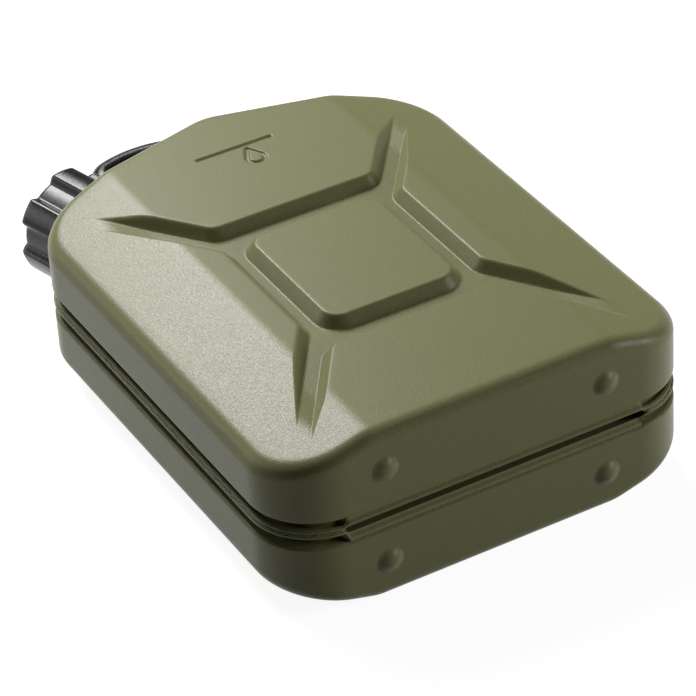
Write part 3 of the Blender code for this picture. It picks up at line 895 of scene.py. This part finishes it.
def beadTree():
    tree, inputs = nodeTree("weldBead", [
        ("Bead Radius", "Float"), ("Spacing", "Float"), ("Wander", "Vector"),
        ("Swell", "Float"), ("Seed", "Int"),
    ])
    link = tree.links.new
    toCurve = tree.nodes.new("GeometryNodeMeshToCurve")
    resample = tree.nodes.new("GeometryNodeResampleCurve")
    resample.mode = "LENGTH"
    shift = tree.nodes.new("GeometryNodeSetPosition")
    drift = tree.nodes.new("FunctionNodeRandomValue")
    drift.data_type = "FLOAT_VECTOR"
    flip = tree.nodes.new("ShaderNodeVectorMath")
    flip.operation = "SCALE"
    flip.inputs["Scale"].default_value = -1
    link(inputs.outputs["Wander"], flip.inputs[0])
    link(flip.outputs["Vector"], drift.inputs["Min"])
    link(inputs.outputs["Wander"], drift.inputs["Max"])
    link(inputs.outputs["Seed"], drift.inputs["Seed"])
    link(drift.outputs["Value"], shift.inputs["Offset"])
    link(inputs.outputs["Spacing"], resample.inputs["Length"])
    size = tree.nodes.new("GeometryNodeSetCurveRadius")
    grow = tree.nodes.new("FunctionNodeRandomValue")
    low = mathNode(tree, "SUBTRACT")
    low.inputs[0].default_value = 1
    link(inputs.outputs["Swell"], low.inputs[1])
    link(low.outputs["Value"], grow.inputs[2])
    grow.inputs[3].default_value = 1
    link(inputs.outputs["Seed"], grow.inputs["Seed"])
    link(grow.outputs[1], size.inputs["Radius"])
    section = tree.nodes.new("GeometryNodeCurvePrimitiveCircle")
    section.inputs["Resolution"].default_value = bead["spokes"]
    link(inputs.outputs["Bead Radius"], section.inputs["Radius"])
    sweep = tree.nodes.new("GeometryNodeCurveToMesh")
    link(section.outputs["Curve"], sweep.inputs["Profile Curve"])
    chain(
        tree, (inputs, None, "Geometry"), (toCurve, "Mesh", "Curve"), (resample, "Curve", "Curve"),
        (shift, "Geometry", "Geometry"), (size, "Curve", "Curve"), (sweep, "Curve", "Mesh"))
    finishTree(tree, sweep, "Mesh", looks["paint"])
    return tree


def makeBead():
    points, normals = tankOutline()
    share = baseShare(points, normals)[:, None]
    path = points - normals * (bead["inset"] * (1 - share) + bead["baseInset"] * share)
    ring = bpy.data.meshes.new("beadPath")
    height = (midZ + bead["height"]) * mm
    places = [(x * mm, (y - tank["middleY"]) * mm, height) for x, y in path]
    ring.from_pydata(places, [(i, (i + 1) % len(places)) for i in range(len(places))], [])
    wander = bead["wander"] * mm
    mesh = grownMesh("weldBead", beadTree(), ring, {
        "Bead Radius": bead["radius"] * mm,
        "Spacing": bead["spacing"] * mm,
        "Wander": (wander, wander, wander),
        "Swell": bead["swell"],
        "Seed": bead["seed"],
    })
    piece = linkPiece("weldBead", mesh, looks["paint"])
    print("canister: weld bead", len(mesh.polygons), "faces")


makeBead()


# collar and neck
collar = {
    "ledge": 3.5,
    "ledgeHeight": 3.0,
    "ledgeRound": 0.7,
    "wall": 1.3,
    "height": 8.0,
    "stepRound": 0.5,
    "innerRound": 0.2,
}


def neckAndCollar():
    inner = neckR + tank["shellGap"]
    step, ledge = inner + collar["wall"], inner + collar["ledge"]
    profile = roundedProfile([
        (step, collar["height"], collar["stepRound"]),
        (inner, collar["height"], collar["innerRound"]),
        (inner, tank["shellGap"], 0),
        (ledge, tank["shellGap"], 0),
        (ledge, collar["ledgeHeight"], collar["ledgeRound"]),
        (step, collar["ledgeHeight"], collar["stepRound"]),
    ])
    mesh = latheMesh("collar", profile, neck["spokes"])
    piece = linkPiece("collar", mesh, looks["paint"])
    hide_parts("neck_collar")
    bore, rise, reach = neck["boreR"], neck["rise"], neck["reach"]
    profile = roundedProfile([
        (neckR, rise, neck["mouthRound"]),
        (bore, rise, neck["mouthRound"]),
        (bore, -reach, 0),
        (neckR, -reach, 0),
    ])
    mesh = latheMesh("neckTube", profile, neck["spokes"])
    piece = linkPiece("neckTube", mesh, looks["paint"])
    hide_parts("filler_neck")


def threadTree():
    tree, inputs = nodeTree("neckThread", [
        ("Radius", "Float"), ("Turns", "Float"), ("Pitch", "Float"),
        ("Start", "Float"), ("Ridge", "Float"),
    ])
    link = tree.links.new
    spiral = tree.nodes.new("GeometryNodeCurveSpiral")
    spiral.inputs["Resolution"].default_value = neck["threadSteps"]
    height = mathNode(tree, "MULTIPLY")
    link(inputs.outputs["Turns"], height.inputs[0])
    link(inputs.outputs["Pitch"], height.inputs[1])
    link(inputs.outputs["Turns"], spiral.inputs["Rotations"])
    link(inputs.outputs["Radius"], spiral.inputs["Start Radius"])
    link(inputs.outputs["Radius"], spiral.inputs["End Radius"])
    link(height.outputs["Value"], spiral.inputs["Height"])
    section = tree.nodes.new("GeometryNodeCurvePrimitiveCircle")
    section.inputs["Resolution"].default_value = neck["threadSpokes"]
    link(inputs.outputs["Ridge"], section.inputs["Radius"])
    sweep = tree.nodes.new("GeometryNodeCurveToMesh")
    sweep.inputs["Fill Caps"].default_value = True
    link(spiral.outputs["Curve"], sweep.inputs["Curve"])
    link(section.outputs["Curve"], sweep.inputs["Profile Curve"])
    lift = tree.nodes.new("GeometryNodeTransform")
    rise = tree.nodes.new("ShaderNodeCombineXYZ")
    link(inputs.outputs["Start"], rise.inputs["Z"])
    link(rise.outputs["Vector"], lift.inputs["Translation"])
    link(sweep.outputs["Mesh"], lift.inputs["Geometry"])
    finishTree(tree, lift, "Geometry", looks["paint"])
    return tree


def makeThread():
    mesh = grownMesh("neckThread", threadTree(), bpy.data.meshes.new("threadStart"), {
        "Radius": neckR,
        "Turns": neck["threadTurns"],
        "Pitch": neck["threadPitch"],
        "Start": neck["threadStart"],
        "Ridge": neck["threadR"],
    })
    mesh.transform(neckPlace)
    piece = linkPiece("neckThread", mesh, looks["paint"])


neckAndCollar()
makeThread()
print("canister: neck, thread and collar made")


# cap
cap = {
    "lobes": 6,
    "lobeTurn": 36,
    "crestR": 22.0,
    "lobeDepth": 2.9,
    "crestHalf": 13.0,
    "valleyHalf": 11.5,
    "shoulder": 0.8,
    "height": 20.1,
    "top": 3.5,
    "rimR": 2.4,
    "rimSteps": 8,
    "rimFlat": 0.7,
    "skirtEdge": 0.5,
    "skirtSteps": 4,
    "gripFrom": 1.2,
    "gripTo": 0.5,
    "dish": ((13.4, 0), (12.8, 0.15), (12.4, 0.6), (11.8, 0.8), (0.3, 0.8)),  # radius and depth
    "threadRoom": 2.6,
    "socketEdge": (0.4, 0.5),
    "innerR": 0.3,
    "gasket": 1.8,
    "gasketHole": 0.4,
    "gasketRound": 0.3,
    "gasketSpokes": 72,
    "stepsPerLobe": 60,
}
sharpAngle = 50  # degrees, above which a moulded edge stays crisp
gasketTop = neck["rise"] + tank["shellGap"] + cap["gasket"]
capEnd = gasketTop + tank["shellGap"] + cap["top"]
socketR = neckR + cap["threadRoom"]


def lobeRadius(angle):
    # a crest, a straight flank and a valley, with soft shoulders between them
    pitch = 360 / cap["lobes"]
    turn = (degrees(angle) - cap["lobeTurn"]) / pitch
    fromCrest = abs(turn - round(turn)) * pitch
    flankRun = pitch / 2 - cap["crestHalf"] - cap["valleyHalf"]
    drop = cap["lobeDepth"] * (fromCrest - cap["crestHalf"]) / flankRun
    drop = softMax(drop, 0, cap["shoulder"])
    return cap["crestR"] - float(softMin(drop, cap["lobeDepth"], cap["shoulder"]))


def capMesh():
    bottom, end = capEnd - cap["height"], capEnd
    steps = cap["lobes"] * cap["stepsPerLobe"]
    skirt, rimR = cap["skirtEdge"], cap["rimR"]
    outer = []  # inset from the lobes, height
    for step in range(cap["skirtSteps"] + 1):
        angle = pi / 2 * step / cap["skirtSteps"]
        outer.append((skirt * (1 - sin(angle)), bottom + skirt * (1 - cos(angle))))
    outer += [(0, bottom + cap["gripFrom"]), (0, end - rimR - cap["gripTo"])]
    for step in range(cap["rimSteps"] + 1):
        angle = pi / 2 * step / cap["rimSteps"]
        outer.append((rimR * (1 - cos(angle)), end - rimR * (1 - sin(angle))))
    outer.append((rimR + cap["rimFlat"], end))
    angles = [radians(cap["lobeTurn"]) + 2 * pi * step / steps for step in range(steps)]
    loops = []

    def addLoop(radiusAt, height):
        radii = [radiusAt(angle) for angle in angles]
        loops.append([(r * cos(angle), r * sin(angle), height) for r, angle in zip(radii, angles)])

    edgeOut, edgeUp = cap["socketEdge"]
    ceiling = gasketTop + tank["shellGap"]
    socket = [(cap["innerR"], ceiling), (socketR, ceiling)]
    socket += [(socketR, bottom + edgeUp), (socketR + edgeOut, bottom)]
    for radius, height in socket:
        addLoop(lambda angle: radius, height)
    for inset, height in outer:
        addLoop(lambda angle: lobeRadius(angle) - inset, height)
    for radius, depth in cap["dish"]:
        addLoop(lambda angle: radius, end - depth)
    mesh = loopsMesh("capGrip", loops, closed=False)
    mesh.set_sharp_from_angle(angle=radians(sharpAngle))
    return mesh


piece = linkPiece("capGrip", capMesh(), looks["plastic"], "cap")
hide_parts("cap")
gasketR, gasketFoot = socketR - tank["shellGap"], gasketTop - cap["gasket"]
gasketProfile = roundedProfile([
    (gasketR, gasketTop, cap["gasketRound"]),
    (cap["gasketHole"], gasketTop, 0),
    (cap["gasketHole"], gasketFoot, 0),
    (gasketR, gasketFoot, cap["gasketRound"]),
])
gasketMesh = latheMesh("gasketDisc", gasketProfile, cap["gasketSpokes"])
piece = linkPiece("gasketDisc", gasketMesh, looks["rubber"], "seal")
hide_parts("cap_gasket")
print("canister: cap made")


# handle
handle = {
    "radius": 5.0,
    "fromNeck": 28,
    "rightAlong": 48,
    "rise": 33.5,
    "bowR": 41.6,
    "bowBack": 10.0,
    "leftBend": 1.0,
    "leftSteps": 14,
    "bowSteps": 26,
    "rightBend": 10,
    "rightSteps": 18,
    "bracketSheet": 1.5,
    "footEdge": 0.7,
    "footRun": 6,
    "spokes": 40,
}


def arcPoints(centre, radius, start, end, steps):
    angles = [start + (end - start) * step / steps for step in range(steps + 1)]
    return [centre + Vector((cos(angle), sin(angle))) * radius for angle in angles]


def handlePath():
    leftFoot = peak - alongLeft * (neckAlong - handle["fromNeck"])
    rightFoot = peak + alongRight * handle["rightAlong"]
    bowR, rise, radius = handle["bowR"], handle["rise"], handle["radius"]
    bowCentre = peak - alongRight * handle["bowBack"] + upRight * (rise - bowR)
    legStart = tank["shellGap"] + handle["bracketSheet"] + tank["shellGap"]
    leftR = radius + handle["leftBend"]
    bendAlong = (leftFoot - bowCentre).dot(alongLeft) + leftR
    bendUp = sqrt((bowR - leftR) ** 2 - bendAlong ** 2)
    leftBend = bowCentre + alongLeft * bendAlong + upLeft * bendUp
    leave = roof + atan2(bendUp, bendAlong)
    rightR = radius + handle["rightBend"]
    rightBend = rightFoot - alongRight * rightR + upRight * (rise - rightR)
    crest = pi / 2 - roof
    legSteps = (0, handle["footEdge"], handle["footRun"])
    path = [leftFoot + upLeft * (legStart + step) for step in legSteps]
    path += arcPoints(leftBend, leftR, pi + roof, leave, handle["leftSteps"])
    path += arcPoints(bowCentre, bowR, leave, crest, handle["bowSteps"])[1:]
    path += arcPoints(rightBend, rightR, crest, -roof, handle["rightSteps"])
    path += [rightFoot + upRight * (legStart + step) for step in reversed(legSteps)]
    return path


def handleMesh():
    path = handlePath()
    spokes, radius = handle["spokes"], handle["radius"]
    points, faces = [], ringFaces(0, len(path), spokes)
    for i, spot in enumerate(path):
        before, after = path[max(0, i - 1)], path[min(len(path) - 1, i + 1)]
        heading = (after - before).normalized()
        side = Vector((-heading.y, heading.x))
        here = radius - (handle["footEdge"] if i in (0, len(path) - 1) else 0)
        for spoke in range(spokes):
            angle = 2 * pi * spoke / spokes
            place = spot + side * (here * cos(angle))
            points.append((place.x, place.y, here * sin(angle)))
    faces.append(tuple(range(spokes)))
    faces.append(tuple(reversed(range(len(points) - spokes, len(points)))))
    mesh = plainMesh("handleBar", points, faces, weld=0.001)
    mesh.set_sharp_from_angle(angle=radians(sharpAngle))
    return mesh


piece = linkPiece("handleBar", handleMesh(), looks["plastic"])
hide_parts("handle")
for kind, look in (("handle_bracket_", "paint"), ("handle_pin_", "steel")):
    for side in ("left", "right"):
        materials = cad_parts[kind + side].data.materials
        materials.clear()
        materials.append(looks[look])
print("canister: handle made")


# floor, lamps and camera
studio = {
    "floorHalf": 6,  # metres
    "floorDrop": 0.0005,  # metres
    "floorColour": 0.3,
    "floorLift": 0.9,
    "worldLight": 0.0,
    "ceiling": 0.06,
    "horizon": (0.0, 0.15),
    "cameraAzimuth": -27.616,
    "cameraElevation": 35.160,
    "cameraRoll": -3.755,
    "cameraDistance": 1311.3,
    "cameraTarget": (-6.741, -34.281, 35.7),
    "focalPixels": 3588,
    "imagePixels": 696,
    "sensorWidth": 36,
}


def cameraRays(tree):
    # 1 for what the camera, a glossy surface or clear glass sees
    path = tree.nodes.new("ShaderNodeLightPath")
    total = None
    for output in ("Is Camera Ray", "Is Glossy Ray", "Is Transmission Ray"):
        if total is None:
            total = path.outputs[output]
            continue
        add = mathNode(tree, "MAXIMUM")
        tree.links.new(total, add.inputs[0])
        tree.links.new(path.outputs[output], add.inputs[1])
        total = add.outputs[0]
    return total


def makeFloor():
    bm = bmesh.new()
    bmesh.ops.create_grid(bm, x_segments=1, y_segments=1, size=studio["floorHalf"])
    mesh = bpy.data.meshes.new("floor")
    bm.to_mesh(mesh)
    bm.free()
    material = bpy.data.materials.new("paleFloor")
    material.use_nodes = True
    tree = material.node_tree
    link = tree.links.new
    tree.nodes.clear()
    matt = tree.nodes.new("ShaderNodeBsdfDiffuse")
    matt.inputs["Color"].default_value = (*[studio["floorColour"]] * 3, 1)
    lift = tree.nodes.new("ShaderNodeEmission")
    amount = mathNode(tree, "MULTIPLY")
    amount.inputs[1].default_value = studio["floorLift"]
    link(cameraRays(tree), amount.inputs[0])
    link(amount.outputs[0], lift.inputs["Strength"])
    add = tree.nodes.new("ShaderNodeAddShader")
    link(matt.outputs[0], add.inputs[0])
    link(lift.outputs[0], add.inputs[1])
    out = tree.nodes.new("ShaderNodeOutputMaterial")
    link(add.outputs[0], out.inputs["Surface"])
    floor = linkPiece("floor", mesh, material, body=None)
    floor.location.z = -studio["floorDrop"]


def makeWorld():
    world = bpy.data.worlds.new("studio")
    bpy.context.scene.world = world
    world.use_nodes = True
    tree = world.node_tree
    link = tree.links.new
    tree.nodes.clear()
    light = tree.nodes.new("ShaderNodeBackground")
    seen = tree.nodes.new("ShaderNodeBackground")
    light.inputs["Strength"].default_value = studio["worldLight"]
    # gloss sees white at the horizon and a dim ceiling above it, the camera sees white all over
    towards = tree.nodes.new("ShaderNodeTexCoord")
    split = tree.nodes.new("ShaderNodeSeparateXYZ")
    fade = tree.nodes.new("ShaderNodeMapRange")
    fade.inputs["From Min"].default_value = studio["horizon"][0]
    fade.inputs["From Max"].default_value = studio["horizon"][1]
    fade.inputs["To Min"].default_value = 1
    fade.inputs["To Max"].default_value = studio["ceiling"]
    link(towards.outputs["Generated"], split.inputs[0])
    link(split.outputs["Z"], fade.inputs["Value"])
    path = tree.nodes.new("ShaderNodeLightPath")
    white = mathNode(tree, "MAXIMUM")
    link(path.outputs["Is Camera Ray"], white.inputs[0])
    link(fade.outputs["Result"], white.inputs[1])
    link(white.outputs[0], seen.inputs["Strength"])
    mix = tree.nodes.new("ShaderNodeMixShader")
    link(cameraRays(tree), mix.inputs["Fac"])
    link(light.outputs[0], mix.inputs[1])
    link(seen.outputs[0], mix.inputs[2])
    out = tree.nodes.new("ShaderNodeOutputWorld")
    link(mix.outputs[0], out.inputs["Surface"])


# each lamp: direction it comes from, distance in metres, width, height, power in watts
lamps = {
    "skyWindow": ((0.05, 0.73, 0.68), 1.5, 0.8, 0.6, 15.5),
    "skyLeft": ((-0.2, 0.71, 0.67), 1.5, 0.8, 0.6, 5.0),
    "skyCore": ((0.05, 0.73, 0.68), 1.5, 0.35, 0.35, 13.5),
    "backLeftHigh": ((-0.18, 0.57, 0.80), 1.5, 0.3, 0.3, 4.5),
    "backLeftLow": ((-0.7, 0.65, 0.3), 1.5, 0.7, 0.5, 3.5),
    "rightFront": ((0.75, -0.6, 0.3), 1.5, 0.7, 0.6, 12.7),
}


def makeLamps():
    for name, (towards, distance, width, height, power) in lamps.items():
        data = bpy.data.lights.new(name, "AREA")
        data.shape = "RECTANGLE"
        data.size, data.size_y = width, height
        data.energy = power
        lamp = bpy.data.objects.new(name, data)
        bpy.context.scene.collection.objects.link(lamp)
        away = Vector(towards).normalized()
        lamp.location = Vector((0, 0, midZ * mm)) + away * distance
        lamp.rotation_euler = (-away).to_track_quat("-Z", "Y").to_euler()


def makeCamera():
    turns = ("cameraAzimuth", "cameraElevation", "cameraRoll")
    azimuth, elevation, roll = (radians(studio[turn]) for turn in turns)
    back = Vector((sin(azimuth) * cos(elevation), -cos(azimuth) * cos(elevation), sin(elevation)))
    right = (-back).cross(Vector((0, 0, 1))).normalized()
    up = right.cross(-back)
    turnedRight = cos(roll) * right + sin(roll) * up
    turnedUp = cos(roll) * up - sin(roll) * right
    data = bpy.data.cameras.new("camera")
    data.sensor_width = studio["sensorWidth"]
    data.lens = studio["focalPixels"] * data.sensor_width / studio["imagePixels"]
    camera = bpy.data.objects.new("camera", data)
    bpy.context.scene.collection.objects.link(camera)
    place = Matrix((turnedRight, turnedUp, back)).transposed().to_4x4()
    place.translation = (Vector(studio["cameraTarget"]) + back * studio["cameraDistance"]) * mm
    camera.matrix_world = place
    bpy.context.scene.camera = camera


makeFloor()
makeWorld()
makeLamps()
makeCamera()
bpy.context.scene.view_settings.view_transform = "Standard"

print("canister: ready")
